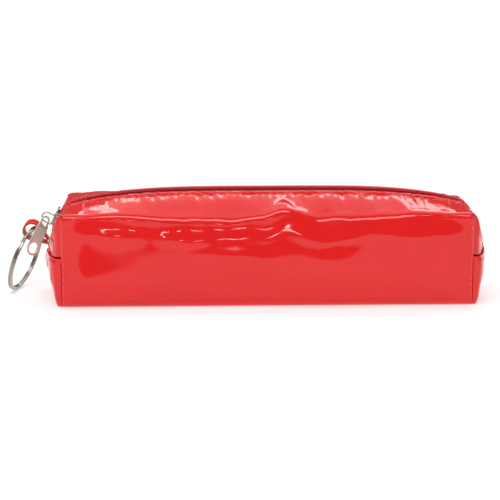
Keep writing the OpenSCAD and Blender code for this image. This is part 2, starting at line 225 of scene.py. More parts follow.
def end_curve(y, a):
    """Left end's curve at y: a 0 to 1 on the roof, 1 to 2 round the turn, 2 to 3 down to the seam."""
    b = bulge(y)
    start_x = -(HALF_L - 2.5 - 3.5 * b)
    start_z = roof(start_x, y)
    pole = (-(HALF_L + 2 * b), start_z - 2.6 * b)
    foot = (-(HALF_L + (END_BULGE - 0.2) * b), start_z - 2.5 - 19 * b)
    seam = (-(HALF_L + END_BULGE * b), SEAM_H + 0 * b)
    t = np.clip(a - 1, 0, 1)
    down = np.clip(a - 2, 0, 1)
    x_roof = -FLAP_HALF + (start_x + FLAP_HALF) * np.clip(a, None, 1)
    x_turn = (1 - t) ** 2 * start_x + 2 * t * (1 - t) * pole[0] + t * t * foot[0]
    z_turn = (1 - t) ** 2 * start_z + 2 * t * (1 - t) * pole[1] + t * t * foot[1]
    x = np.where(a <= 1, x_roof, np.where(a <= 2, x_turn, foot[0] + (seam[0] - foot[0]) * down))
    z = np.where(a <= 1, roof(x_roof, y), np.where(a <= 2, z_turn, foot[1] + (seam[1] - foot[1]) * down))
    return x, z


def end_frame(y, a):
    """Point on the left end's curve and its outward direction in the XZ plane."""
    x, z = end_curve(y, a)
    step = 0.01
    x2, z2 = end_curve(y, a + step)
    x1, z1 = end_curve(y, a - step)
    dx, dz = x2 - x1, z2 - z1
    size = np.hypot(dx, dz)
    return x, z, dz / size, -dx / size


# Lengths of the end's three stretches along its middle: top, turn, and down to the seam.
TOP_RUN, TURN_RUN, SEAM_RUN = 20, 24.5, 2


def run_length(a):
    """Distance along the end's middle from the flap, roughly, for the stitch spacing."""
    return np.clip(a, 0, 1) * TOP_RUN + np.clip(a - 1, 0, 1) * TURN_RUN + np.clip(a - 2, 0, 1) * SEAM_RUN


def end_surface(a, s, lift=0):
    """Upper left end: a runs from the flap over the turn down to the seam, s as in profile()."""
    y, _, drop = profile(s)
    x, z, nx, nz = end_frame(y, a)
    turn = smooth((a - 0.8) / 1.2)
    corner = turn * 1.9 * np.exp(-((HALF_D - y) / 2.0) ** 2)
    pinch = 0.7 * smooth((a - 1.86) / 0.6)
    along = run_length(a)
    fade = 1 - smooth((a - 0.9) / 0.8)
    body = dents(x, s) * fade + pucker(-FLAP_HALF - along, s) * smooth((s - S_ROOF) / 4)
    gathers = turn * 0.45 * waves(along / 16, s / 9, 51) * smooth((s - S_ROOF) / 5)
    keep = 1 - smooth((s - S_EDGE - 0.5) / 0.8)
    out = (body + gathers) * keep - drop - corner - pinch
    sag = fade * (crease_sag(x) * (1 - smooth((s - S_SPLIT) / 12)) - lift * back_lift(x, s))
    y = y - corner_recess(x) * (1 - smooth((s - S_CREASE) / 8)) * fade - turn * tuck(y)
    return np.stack([x + nx * out, -y, z + nz * out - sag], -1)


def lower_surface(v, z):
    """Lower left end: v runs across from front to back, z up to the seam."""
    y = v - np.sign(v) * tuck(v)
    below = np.clip(BASE_R - z, 0, BASE_R)
    base_round = BASE_R - np.sqrt(np.clip(BASE_R ** 2 - below ** 2, 0, None))
    lift = 1 - ((SEAM_H - z) / SEAM_H) ** 2
    x = -(HALF_L + END_BULGE * bulge(v) * lift)
    corner = 2.5 * np.exp(-((HALF_D - np.abs(v)) / 2.0) ** 2)
    pinch = 0.7 * smooth((z - SEAM_H + 3.2) / 3.2)
    foot = 0.8 * (1 - smooth(z / 3)) * smooth((HALF_D - 2 - np.abs(v)) / 4)
    soft = 0.5 * waves(y / 22, z / 20, 61) * smooth(z / 8) * smooth((HALF_D - 2 - np.abs(y)) / 6)
    return np.stack([x + corner + pinch + foot - soft, y * (1 - base_round / HALF_D), z + 0 * y], -1)


# --- Mesh helpers -------------------------------------------------------------------

def add_object(name, points, faces, material, normals=None):
    """Makes a mesh object from points in millimetres."""
    mesh = bpy.data.meshes.new(name)
    mesh.from_pydata((np.asarray(points, float) * MM).tolist(), [], faces)
    mesh.shade_smooth()
    if normals is not None:
        mesh.normals_split_custom_set_from_vertices(np.asarray(normals, float).tolist())
    mesh.materials.append(material)
    piece = bpy.data.objects.new(name, mesh)
    bpy.context.scene.collection.objects.link(piece)
    return piece


def grid_faces(nu, nv, first, flip, wrap=False):
    """Quads of an nu by nv grid of points that starts at index first; wrap closes it along v."""
    faces = []
    for i in range(nu - 1):
        for j in range(nv if wrap else nv - 1):
            k = (j + 1) % nv
            low, high = first + i * nv, first + (i + 1) * nv
            quad = [low + j, low + k, high + k, high + j]
            faces.append(quad[::-1] if flip else quad)
    return faces


def unit(v):
    return v / np.maximum(np.linalg.norm(v, axis=-1, keepdims=True), 1e-12)


def skin(name, surface, us, vs, thick, material, flip=False, mirror=(1, 1), raise_by=0):
    """A sheet on surface(u, v), thick inwards and never below the floor, with its cut edges closed."""
    u, v = np.meshgrid(us, vs, indexing="ij")
    step = 0.02
    step_u = step * (us[-1] - us[0]) / 50
    grad_u = surface(u + step_u, v) - surface(u - step_u, v)
    grad_v = surface(u, v + step) - surface(u, v - step)
    normal = unit(np.cross(grad_u, grad_v))
    if flip:
        normal = -normal
    outer = surface(u, v) + normal * raise_by
    inner = outer - normal * thick
    inner[..., 2] = np.clip(inner[..., 2], 0, None)
    scale = np.array([mirror[0], mirror[1], 1.0])
    outer, inner, normal = outer * scale, inner * scale, normal * scale
    nu, nv = len(us), len(vs)
    points = [outer.reshape(-1, 3), inner.reshape(-1, 3)]
    normals = [normal.reshape(-1, 3), -normal.reshape(-1, 3)]
    i, j = nu // 2, nv // 2
    facing = np.cross(outer[i + 1, j] - outer[i, j], outer[i, j + 1] - outer[i, j]) @ normal[i, j] > 0
    faces = grid_faces(nu, nv, 0, facing) + grid_faces(nu, nv, nu * nv, not facing)
    first = 2 * nu * nv
    edges = [
        (outer[0], inner[0], outer[0] - outer[1]),
        (outer[-1], inner[-1], outer[-1] - outer[-2]),
        (outer[:, 0], inner[:, 0], outer[:, 0] - outer[:, 1]),
        (outer[:, -1], inner[:, -1], outer[:, -1] - outer[:, -2]),
    ]
    for top, low, away in edges:
        n = len(top)
        points += [top, low]
        normals += [unit(away), unit(away)]
        quads = [[first + i, first + i + 1, first + n + i + 1, first + n + i] for i in range(n - 1)]
        side = np.cross(top[1] - top[0], low[0] - top[0])
        if np.sum(side * away[0]) < 0:
            quads = [quad[::-1] for quad in quads]
        faces += quads
        first += 2 * n
    return add_object(name, np.concatenate(points), faces, material, np.concatenate(normals))


def directions(path):
    """Direction of travel at each point of an open path."""
    ahead = np.roll(path, -1, 0) - np.roll(path, 1, 0)
    ahead[0] = path[1] - path[0]
    ahead[-1] = path[-1] - path[-2]
    return unit(ahead)


def swept_faces(n, sides):
    """Faces of a section of so many sides swept through n places, with flat ends."""
    caps = [list(range(sides))[::-1], [(n - 1) * sides + j for j in range(sides)]]
    return grid_faces(n, sides, 0, False, wrap=True) + caps


def tube(name, path, radius, material, sides, flat=(1, 1), up=(0, 0, 1)):
    """A round or flattened tube along path; flat scales it sideways and upwards."""
    path = np.asarray(path, float)
    ahead = directions(path)
    ups = np.broadcast_to(np.asarray(up, float), path.shape)
    side = unit(np.cross(ahead, ups))
    ups = unit(np.cross(side, ahead))
    angles = np.linspace(0, 2 * math.pi, sides, endpoint=False)
    radius = np.broadcast_to(np.asarray(radius, float), (len(path),))[:, None, None]
    ring = (np.cos(angles)[None, :, None] * side[:, None] * flat[0]
            + np.sin(angles)[None, :, None] * ups[:, None] * flat[1])
    points = path[:, None] + ring * radius
    return add_object(name, points.reshape(-1, 3), swept_faces(len(path), sides), material)


def join(name, pieces):
    """Joins pieces into one new object and removes them."""
    points, faces, materials, slots = [], [], [], []
    first = 0
    for piece in pieces:
        mesh = piece.data
        base = len(materials)
        materials += list(mesh.materials)
        points += [v.co for v in mesh.vertices]
        for polygon in mesh.polygons:
            faces.append([first + i for i in polygon.vertices])
            slots.append(base + polygon.material_index)
        first += len(mesh.vertices)
    whole = bpy.data.meshes.new(name)
    whole.from_pydata([tuple(p) for p in points], [], faces)
    whole.shade_smooth()
    unique = list(dict.fromkeys(materials))
    for material in unique:
        whole.materials.append(material)
    for polygon, slot in zip(whole.polygons, slots):
        polygon.material_index = unique.index(materials[slot])
    for piece in pieces:
        mesh = piece.data
        bpy.data.objects.remove(piece)
        bpy.data.meshes.remove(mesh)
    result = bpy.data.objects.new(name, whole)
    bpy.context.scene.collection.objects.link(result)
    return result


# --- Materials ------------------------------------------------------------------------

def material(name, color, roughness, metallic=0.0, coat=0.0, coat_roughness=0.03, sheen=0.0):
    """A principled material with its nodes, links and shader."""
    made = bpy.data.materials.new(name)
    made.use_nodes = True
    nodes, links = made.node_tree.nodes, made.node_tree.links
    shader = nodes["Principled BSDF"]
    shader.inputs["Base Color"].default_value = (*color, 1)
    shader.inputs["Roughness"].default_value = roughness
    shader.inputs["Metallic"].default_value = metallic
    shader.inputs["Coat Weight"].default_value = coat
    shader.inputs["Coat Roughness"].default_value = coat_roughness
    shader.inputs["Sheen Weight"].default_value = sheen
    return made, nodes, links, shader


def place(nodes, links, stretch=(1, 1, 1)):
    """Object coordinates stretched along each axis."""
    coords = nodes.new("ShaderNodeTexCoord")
    mapping = nodes.new("ShaderNodeMapping")
    mapping.inputs["Scale"].default_value = stretch
    links.new(coords.outputs["Object"], mapping.inputs["Vector"])
    return mapping.outputs["Vector"]


def noise(nodes, links, where, scale, detail, rough=0.5):
    texture = nodes.new("ShaderNodeTexNoise")
    texture.inputs["Scale"].default_value = scale
    texture.inputs["Detail"].default_value = detail
    texture.inputs["Roughness"].default_value = rough
    links.new(where, texture.inputs["Vector"])
    return texture.outputs["Fac"]


def wave(nodes, links, where, scale, direction, distortion=0.0):
    texture = nodes.new("ShaderNodeTexWave")
    texture.bands_direction = direction
    texture.inputs["Scale"].default_value = scale
    texture.inputs["Distortion"].default_value = distortion
    links.new(where, texture.inputs["Vector"])
    return texture.outputs["Fac"]


def tint(nodes, links, factor, low, high, socket):
    """Colours a socket from low to high by factor."""
    ramp = nodes.new("ShaderNodeMix")
    ramp.data_type = "RGBA"
    ramp.inputs["A"].default_value = (*low, 1)
    ramp.inputs["B"].default_value = (*high, 1)
    links.new(factor, ramp.inputs["Factor"])
    links.new(ramp.outputs["Result"], socket)


def spread(nodes, links, factor, low, high, socket):
    """Drives a number socket from low to high by factor."""
    scale = nodes.new("ShaderNodeMapRange")
    scale.inputs["To Min"].default_value = low
    scale.inputs["To Max"].default_value = high
    links.new(factor, scale.inputs["Value"])
    links.new(scale.outputs["Result"], socket)


def bump(nodes, links, height, distance, shader, strength, before=None):
    """Bumps the shader by height; before is the normal of an earlier bump to build on."""
    node = nodes.new("ShaderNodeBump")
    node.inputs["Strength"].default_value = strength
    node.inputs["Distance"].default_value = distance
    links.new(height, node.inputs["Height"])
    if before is not None:
        links.new(before, node.inputs["Normal"])
    links.new(node.outputs["Normal"], shader.inputs["Normal"])
    return node.outputs["Normal"]


def patent_vinyl():
    made, nodes, links, shader = material("patent_vinyl", (0.80, 0.010, 0.010), 0.1,
                                          coat=0.25, coat_roughness=0.02)
    shader.inputs["Specular IOR Level"].default_value = 0.32
    where = place(nodes, links)
    broad = noise(nodes, links, where, 28, 2)
    tint(nodes, links, broad, (0.76, 0.010, 0.011), (0.85, 0.015, 0.014), shader.inputs["Base Color"])
    fine = noise(nodes, links, where, 420, 2)
    spread(nodes, links, fine, 0.05, 0.11, shader.inputs["Roughness"])
    first = bump(nodes, links, noise(nodes, links, where, 120, 2), 0.00010, shader, 0.4)
    bump(nodes, links, noise(nodes, links, where, 1500, 2), 0.00002, shader, 0.3, first)
    return made


def tan_backing():
    made, nodes, links, shader = material("strap_backing", (0.42, 0.17, 0.06), 0.75, sheen=0.2)
    where = place(nodes, links)
    fibres = noise(nodes, links, where, 900, 4, 0.7)
    tint(nodes, links, fibres, (0.33, 0.11, 0.035), (0.52, 0.23, 0.09), shader.inputs["Base Color"])
    bump(nodes, links, fibres, 0.00012, shader, 0.8)
    return made


def woven(name, low, high, pitch):
    """Plain weave: two sets of ribs at right angles."""
    made, nodes, links, shader = material(name, low, 0.8, sheen=0.25)
    where = place(nodes, links)
    along = wave(nodes, links, where, pitch, "X", 0.6)
    across = wave(nodes, links, place(nodes, links, (1, 1, 0.8)), pitch, "Y", 0.6)
    mixed = nodes.new("ShaderNodeMath")
    mixed.operation = "MULTIPLY"
    links.new(along, mixed.inputs[0])
    links.new(across, mixed.inputs[1])
    tint(nodes, links, mixed.outputs[0], low, high, shader.inputs["Base Color"])
    bump(nodes, links, mixed.outputs[0], 0.00010, shader, 0.9)
    return made


def thread_material():
    made, nodes, links, shader = material("thread", (0.82, 0.06, 0.06), 0.65)
    shader.inputs["Specular IOR Level"].default_value = 0.25
    where = place(nodes, links)
    twist = wave(nodes, links, where, 700, "DIAGONAL", 1.0)
    tint(nodes, links, twist, (0.78, 0.05, 0.055), (0.95, 0.15, 0.14), shader.inputs["Base Color"])
    bump(nodes, links, twist, 0.00008, shader, 0.8)
    return made


def coil_material():
    made, nodes, links, shader = material("zip_coil", (0.66, 0.014, 0.025), 0.38)
    where = place(nodes, links)
    mottled = noise(nodes, links, where, 260, 3)
    tint(nodes, links, mottled, (0.58, 0.014, 0.024), (0.78, 0.030, 0.040), shader.inputs["Base Color"])
    spread(nodes, links, mottled, 0.3, 0.5, shader.inputs["Roughness"])
    return made


def nickel_material(name, low, high, painted_light_gain, metallic):
    """Cast nickel: roughness from low to high, and a cloudy base colour times a gain, the fourth argument; a
    gain above 1 paints light into the colour, making it lighter than the nickel is.
    """
    made, nodes, links, shader = material(name, (0.62, 0.59, 0.53), 0.2, metallic=metallic)
    where = place(nodes, links)
    cloud = noise(nodes, links, where, 320, 4)
    tint(nodes, links, cloud, (0.30 * painted_light_gain, 0.29 * painted_light_gain, 0.25 * painted_light_gain),
         (0.48 * painted_light_gain, 0.46 * painted_light_gain, 0.41 * painted_light_gain), shader.inputs["Base Color"])
    spread(nodes, links, cloud, low, high, shader.inputs["Roughness"])
    bump(nodes, links, noise(nodes, links, where, 1400, 3), 0.00002, shader, 0.5)
    return made


def brushed_painted_light_material():
    made, nodes, links, shader = material("brushed_panel_painted_light", (0.78, 0.82, 0.78), 0.45, metallic=0.1)
    lines = noise(nodes, links, place(nodes, links, (1, 1, 0.08)), 2600, 3, 0.7)
    # Painted light: the panel's grey is painted lighter and greener than it is, to offset the shade and the
    # red bounce from the pouch it faces; the fine lines are its real brushed grain.
    tint(nodes, links, lines, (0.66, 0.73, 0.62), (0.82, 0.90, 0.78), shader.inputs["Base Color"])
    spread(nodes, links, lines, 0.38, 0.6, shader.inputs["Roughness"])
    bump(nodes, links, lines, 0.00004, shader, 0.7)
    return made


RED = patent_vinyl()
TAN = tan_backing()
LINING = woven("lining", (0.10, 0.008, 0.012), (0.24, 0.02, 0.03), 520)
TAPE = woven("zip_tape", (0.46, 0.012, 0.022), (0.72, 0.035, 0.05), 480)
THREAD = thread_material()
COIL = coil_material()
NICKEL = nickel_material("nickel", low=0.2, high=0.34, painted_light_gain=1.0, metallic=1.0)
# The puller's rim: a copy of the nickel painted 1.7 times lighter and less metallic, as painted light that
# stands in for the light its shaded place, facing the pouch, doesn't get.
RIM_NICKEL_PAINTED_LIGHT = nickel_material("puller_nickel_painted_light", low=0.22, high=0.36, painted_light_gain=1.7, metallic=0.3)
# The puller's panel, with painted light in its base colour.
BRUSHED_PAINTED_LIGHT = brushed_painted_light_material()


# --- Vinyl shell ------------------------------------------------------------------------

def put(piece, body, slot, *nodes):
    """Sends a piece with its body, and lets it stand for CAD nodes."""
    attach(piece, body)
    if nodes:
        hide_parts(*nodes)


def put_bending(piece, flap, way, slot, *nodes):
    """Bakes the piece's transform into its mesh and hides the CAD nodes it stands for; it doesn't bend the
    piece. flap (a flap of the mouth) and way (-1 at the left end, 1 at the right) are not used.
    """
    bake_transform(piece)
    if nodes:
        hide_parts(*nodes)


CLOSEST = 0.04   # least distance between two lines of a mesh


def graded(a, b, n, *dense):
    """n values from a to b, with more of them around the dense places (middle, half width, count)."""
    values = list(np.linspace(a, b, n))
    for place_at, half, count in dense:
        values += list(np.linspace(max(a, place_at - half), min(b, place_at + half), count))
    values = np.unique(np.round(values, 4))
    keep = [values[0]]
    for value in values[1:]:
        if value - keep[-1] > CLOSEST:
            keep.append(value)
    return np.array(keep)


WALL_X = graded(-WALL_END, WALL_END, 230, (-(WALL_END - 1.5), 1.6, 16), (WALL_END - 1.5, 1.6, 16))
WALL_S = graded(0.0, S_SPLIT, 70, (S_TURN - 3, 3.5, 14), (S_CREASE, 6, 22))
MID_X = np.linspace(-FLAP_HALF, FLAP_HALF, 420)
TOP_S = graded(S_SPLIT, S_END, 34, (S_SPLIT, 3, 12), (STITCH_S, 1.8, 14), (S_EDGE + 0.5, 1.2, 12))
END_A = graded(0.0, 3.0, 90, (2.4, 0.6, 16))


def shell():
    """Walls, top strips and end pieces."""
    for side, mirror, sign in (("front", (1, 1), -1), ("back", (1, -1), 1)):
        flap = "mouth_" + side
        lifted = partial(body_surface, lift=1) if side == "back" else body_surface
        wall = skin(side + "_wall_skin", lifted, WALL_X, WALL_S, VINYL, RED, mirror=mirror)
        put(wall, "pouch", "patent_vinyl", side + "_panel")
        top = skin(side + "_top_skin", lifted, MID_X, TOP_S, VINYL, RED, mirror=mirror)
        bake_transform(top)
        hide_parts(side + "_top_strip")
        for end, way in (("left", -1), ("right", 1)):
            corner = partial(end_surface, lift=1) if (end, side) == ("left", "back") else end_surface
            upper = skin(f"{end}_end_skin_{side}", corner, END_A, TOP_S, VINYL, RED, flip=True,
                         mirror=(-way, mirror[1]))
            put_bending(upper, flap, way, "patent_vinyl", f"{end}_end_upper_{side}")


def lower_ends():
    """End pieces below the seam."""
    across = graded(-HALF_D + 0.3, HALF_D - 0.3, 90, (-HALF_D + 3, 3, 16), (HALF_D - 3, 3, 16))
    heights = graded(0.0, SEAM_H - SEAM_GAP, 44, (SEAM_H - 2, 2, 12))
    for end, turn in (("left", 1), ("right", -1)):
        lower = skin(end + "_end_lower_skin", lower_surface, across, heights, VINYL, RED, mirror=(turn, 1))
        put(lower, "pouch", "patent_vinyl", end + "_end_lower")


shell()
lower_ends()


# --- Lining and bound seams --------------------------------------------------------------

LINING_T = 0.4
LINING_DEEP = VINYL + 0.35
FACING_DEEP = VINYL + 0.85


def lining():
    """Inner bag, and the facings under the zip tapes."""
    inner_x = np.linspace(-(HALF_L - 3.5), HALF_L - 3.5, 120)
    wall_s = np.linspace(0.2, S_CREASE - 2.5, 60)
    strip_x = np.linspace(-(FLAP_HALF - 0.5), FLAP_HALF - 0.5, 120)
    strip_s = np.linspace(S_ROOF + 0.5, S_EDGE - 0.6, 20)
    for side, mirror in (("front", (1, 1)), ("back", (1, -1))):
        wall = skin(f"lining_{side}_sheet", body_surface, inner_x, wall_s, LINING_T, LINING, mirror=mirror,
                    raise_by=-LINING_DEEP)
        put(wall, "pouch", "lining", "lining_" + side)
        strip = skin(f"lining_{side}_facing", body_surface, strip_x, strip_s, LINING_T, LINING, mirror=mirror,
                     raise_by=-FACING_DEEP)
        put(strip, "mouth_" + side, "lining", f"lining_{side}_strip")


def rolled_binding(name, start, end, flat):
    """Bias tape folded round a seam, slightly uneven along its length; flat is its half width and height."""
    start, end = np.array(start, float), np.array(end, float)
    count = 40
    path = [start + (end - start) * k / count for k in range(count + 1)]
    radii = 1 + 0.05 * waves(np.arange(count + 1) / 5.0, 0, len(name))
    up = (0, 0, 1) if abs((end - start)[2]) < 1 else (0, 1, 0)
    return tube(name, path, radii, LINING, 14, flat=flat, up=up)


def bindings():
    """Tapes over the base's, the ends' and the corners' seams, inside."""
    low, high = box_mm("base_seam_binding")
    middle = (low + high) / 2
    piece = rolled_binding("base_seam_tape", (low[0], 0, middle[2]), (high[0], 0, middle[2]), (4.6, 0.5))
    put(piece, "pouch", "lining", "base_seam_binding")
    for end in ("left", "right"):
        low, high = box_mm(end + "_end_seam_binding")
        middle = (low + high) / 2
        piece = rolled_binding(end + "_end_seam_tape", (middle[0], low[1], middle[2]),
                               (middle[0], high[1], middle[2]), (1.4, 0.65))
        put(piece, "pouch", "lining", end + "_end_seam_binding")
        for side in ("front", "back"):
            low, high = box_mm(f"{side}_{end}_corner_binding")
            middle = (low + high) / 2
            piece = rolled_binding(f"{side}_{end}_corner_tape", (middle[0], middle[1], low[2]),
                                   (middle[0], middle[1], high[2]), (0.55, 2.6))
            put(piece, "pouch", "lining", f"{side}_{end}_corner_binding")


lining()
bindings()


# --- Stitching ---------------------------------------------------------------------------

STITCH_SHARE = 0.66   # how much of the pitch a stitch covers
THREAD_R = 0.24


def stitch(a, b, out):
    """One stitch from a to b: a short thread that arches out and dips into the skin at its ends."""
    a, b, out = np.array(a, float), np.array(b, float), np.array(out, float)
    path, radii = [], []
    for t in np.linspace(0, 1, 7):
        lift = 0.34 * math.sin(math.pi * t) - 0.1
        path.append(a + (b - a) * t + out * lift)
        radii.append(THREAD_R * (0.6 + 0.4 * math.sin(math.pi * t)))
    return tube("stitch", path, radii, THREAD, 6, up=tuple(out + np.array([0.01, 0.02, 0.0])))


def stitch_row(name, surface, spots, mirror, flip=False):
    """Stitches on surface at each (u, v, du, dv) spot, du and dv being the pitch along u and v."""
    def at(u, v):
        return surface(np.array(u), np.array(v)).reshape(3)

    pieces = []
    scale = np.array([mirror[0], mirror[1], 1.0])
    for u, v, du, dv in spots:
        half_u, half_v = du * STITCH_SHARE / 2, dv * STITCH_SHARE / 2
        a, b = at(u - half_u, v - half_v), at(u + half_u, v + half_v)
        out = unit(np.cross(at(u + 0.01, v) - at(u - 0.01, v), at(u, v + 0.02) - at(u, v - 0.02)))
        if flip:
            out = -out
        pieces.append(stitch(a * scale, b * scale, out * scale))
    return join(name, pieces)


def stitching():
    """Rows beside the zip, down the ends, beside the corner seams and along the ends' seams."""
    count = int((FLAP_HALF - 2) / STITCH_PITCH)
    top_spots = [(k * STITCH_PITCH, STITCH_S, STITCH_PITCH, 0) for k in range(-count, count + 1)]
    on_top, on_turn = STITCH_PITCH / TOP_RUN, STITCH_PITCH / TURN_RUN
    end_spots = [((k + 0.5) * on_top, STITCH_S, on_top, 0) for k in range(5)]
    end_spots += [(1 + (k + 0.5) * on_turn, STITCH_S, on_turn, 0) for k in range(6)]
    wall_s = np.arange(S_TURN + 3, S_CREASE - 3, STITCH_PITCH)
    wall_spots = [(HALF_L - 3.0, s, 0, STITCH_PITCH) for s in wall_s]
    for side, mirror in (("front", (1, 1)), ("back", (1, -1))):
        row = stitch_row(side + "_top_stitches", body_surface, top_spots, mirror)
        put(row, "mouth_" + side, "thread", side + "_topstitch")
        rows = []
        for end, way in (("left", -1), ("right", 1)):
            rows.append(stitch_row(f"{end}_{side}_seam", body_surface, wall_spots, (way, mirror[1])))
            beside = stitch_row(f"{end}_end_stitches_{side}", end_surface, end_spots, (-way, mirror[1]), True)
            put_bending(beside, "mouth_" + side, way, "thread")
        put(join(side + "_corner_stitches", rows), "pouch", "thread", side + "_corner_stitching")
    seam_spots = [(y, SEAM_H - 3.4, STITCH_PITCH, 0) for y in np.arange(-18, 18.1, STITCH_PITCH)]
    for end, turn in (("left", 1), ("right", -1)):
        put(stitch_row(end + "_seam_stitches", lower_surface, seam_spots, (turn, 1)), "pouch", "thread")


stitching()


# --- Zip ---------------------------------------------------------------------------------

TAPE_OUT = 13.1
TAPE_IN = 1.1
TAPE_T = 0.5
TAPE_DEEP = VINYL + 0.12
COIL_PITCH = 1.3
COIL_MID = 1.22
COIL_DEEP = 0.5
COIL_WIDE = 1.25
COIL_THICK = 0.62
WIRE_R = 0.3
WIRE_SIDES = 7


def flat_top(x, y):
    """The roof without dents, for the zip's tapes."""
    return np.stack([x, -y, roof(x, y)], -1)


def flat_end(a, y):
    """The left end without dents, for the zip's tapes."""
    x, z = end_curve(y, a)
    return np.stack([x, -y, z], -1)


def coil_path(middle_at, out_at, length, phase):
    """Points of a flattened coil; middle_at and out_at give its middle and outward direction by distance."""
    count = int(length / COIL_PITCH * 12)
    path = []
    for k in range(count + 1):
        d = length * k / count
        angle = 2 * math.pi * d / COIL_PITCH + phase
        across = np.array([0, COIL_WIDE * math.cos(angle), 0])
        path.append(middle_at(d) + across + out_at(d) * COIL_THICK * math.sin(angle))
    return path


def zip_chain():
    """Tapes and coils along the top, and down both ends."""
    tape_y = np.linspace(TAPE_IN, TAPE_OUT, 22)
    strip_x = np.linspace(-(FLAP_HALF - 0.1), FLAP_HALF - 0.1, 150)
    end_a = np.linspace(0.0, 2.7, 60)
    for side, mirror, sign, phase in (("front", (1, 1), -1, 0.0), ("back", (1, -1), 1, math.pi)):
        flap = "mouth_" + side
        tape = skin(side + "_tape", flat_top, strip_x, tape_y, TAPE_T, TAPE, flip=True, mirror=mirror,
                    raise_by=-TAPE_DEEP)
        put(tape, flap, "zip_tape", "zip_tape_" + side)

        def middle(d):
            x = -FLAP_HALF + d
            return np.array([x, sign * COIL_MID, float(roof(x, 0.0)) - COIL_DEEP])

        path = coil_path(middle, lambda d: np.array([0, 0, 1.0]), 2 * FLAP_HALF, phase)
        coil = tube(side + "_coil", path, WIRE_R, COIL, WIRE_SIDES, up=(0, 0.03, 1))
        put(coil, flap, "zip_coil", "zip_coil_" + side)
        # The left coils end at the slider's rest place, the right ones at the bottom stop.
        for end, way, last in (("left", -1, 1.5), ("right", 1, 2.55)):
            strip = skin(f"{end}_tape_{side}", flat_end, end_a, tape_y, TAPE_T, TAPE,
                         mirror=(-way, mirror[1]), raise_by=-TAPE_DEEP)
            put_bending(strip, flap, way, "zip_tape")
            steps = np.linspace(0, last, 400)
            xs, zs = end_curve(np.zeros(400), steps)
            runs = np.concatenate([[0], np.cumsum(np.hypot(np.diff(xs), np.diff(zs)))])

            def along(d):
                return end_frame(np.array(0.0), np.array(np.interp(d, runs, steps)))

            def end_middle(d):
                x, z, nx, nz = along(d)
                return np.array([-way * (x - nx * COIL_DEEP), sign * COIL_MID, z - nz * COIL_DEEP])

            def end_out(d):
                _, _, nx, nz = along(d)
                return np.array([-way * nx, 0, nz])

            path = coil_path(end_middle, end_out, runs[-1], way * phase)
            piece = tube(f"{end}_coil_{side}", path, WIRE_R, COIL, WIRE_SIDES, up=(0.02, 0.03, 1))
            put_bending(piece, flap, way, "zip_coil")


def claim_end_zip():
    """Hides the left and right ends' CAD tapes and coils, which the end pieces stand for."""
    for end in ("left", "right"):
        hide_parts(f"zip_tape_{end}_end")
        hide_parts(f"zip_coil_{end}_end")


zip_chain()
claim_end_zip()


# --- Metal parts ----------------------------------------------------------------------------

ARC_POINTS = 28


def circle_points(center, radius, start, end, count=ARC_POINTS):
    """Points on an arc, from start to end in degrees."""
    angles = np.radians(np.linspace(start, end, count))
    return [(center[0] + radius * math.cos(a), center[1] + radius * math.sin(a)) for a in angles]


def plate(name, outline, holes, thick, edge, material, matrix):
    """A flat plate with holes and rounded edges, from 2D outlines in millimetres."""
    curve = bpy.data.curves.new(name, "CURVE")
    curve.dimensions = "2D"
    curve.fill_mode = "BOTH"
    curve.extrude = max(thick / 2 - edge, 0.001)
    curve.bevel_depth = edge
    curve.bevel_resolution = 2
    curve.offset = -edge
    for loop in [outline] + list(holes):
        spline = curve.splines.new("POLY")
        spline.points.add(len(loop) - 1)
        for point, (x, y) in zip(spline.points, loop):
            point.co = (x, y, 0, 1)
        spline.use_cyclic_u = True
    holder = bpy.data.objects.new(name + "_curve", curve)
    bpy.context.scene.collection.objects.link(holder)
    bpy.context.view_layer.update()
    mesh = bpy.data.meshes.new_from_object(holder)
    bpy.data.objects.remove(holder)
    bpy.data.curves.remove(curve)
    mesh.transform(Matrix.Scale(MM, 4) @ matrix)
    mesh.shade_smooth()
    mesh.set_sharp_from_angle(angle=math.radians(35))
    mesh.materials.clear()
    mesh.materials.append(material)
    mesh.name = name
    piece = bpy.data.objects.new(name, mesh)
    bpy.context.scene.collection.objects.link(piece)
    return piece


def axes_matrix(origin, x, y, z):
    """A matrix whose columns are the given axes."""
    matrix = Matrix.Identity(4)
    for column, axis in enumerate((x, y, z, origin)):
        for row in range(3):
            matrix[row][column] = float(axis[row])
    return matrix


REST_A = 1.54   # where the slider rests, on the turn of the left end
SLIDER_X, SLIDER_Z, OUT_X, OUT_Z = (float(value) for value in end_frame(np.array(0.0), np.array(REST_A)))
SLIDER = axes_matrix((SLIDER_X, 0, SLIDER_Z), (OUT_Z, 0, -OUT_X), (0, 1, 0), (OUT_X, 0, OUT_Z))
# In the slider's own frame: x along the zip, z outwards.
PLATE_T = 0.9
TOP_PLATE = 0.7
LOW_PLATE = -2.6
LIP_Y = 3.75
BRIDGE_X = -2.8
BRIDGE_Z = 4.4
BRIDGE_R = 2.05
BRIDGE_T = 0.7
BRIDGE_HALF_W = 0.5


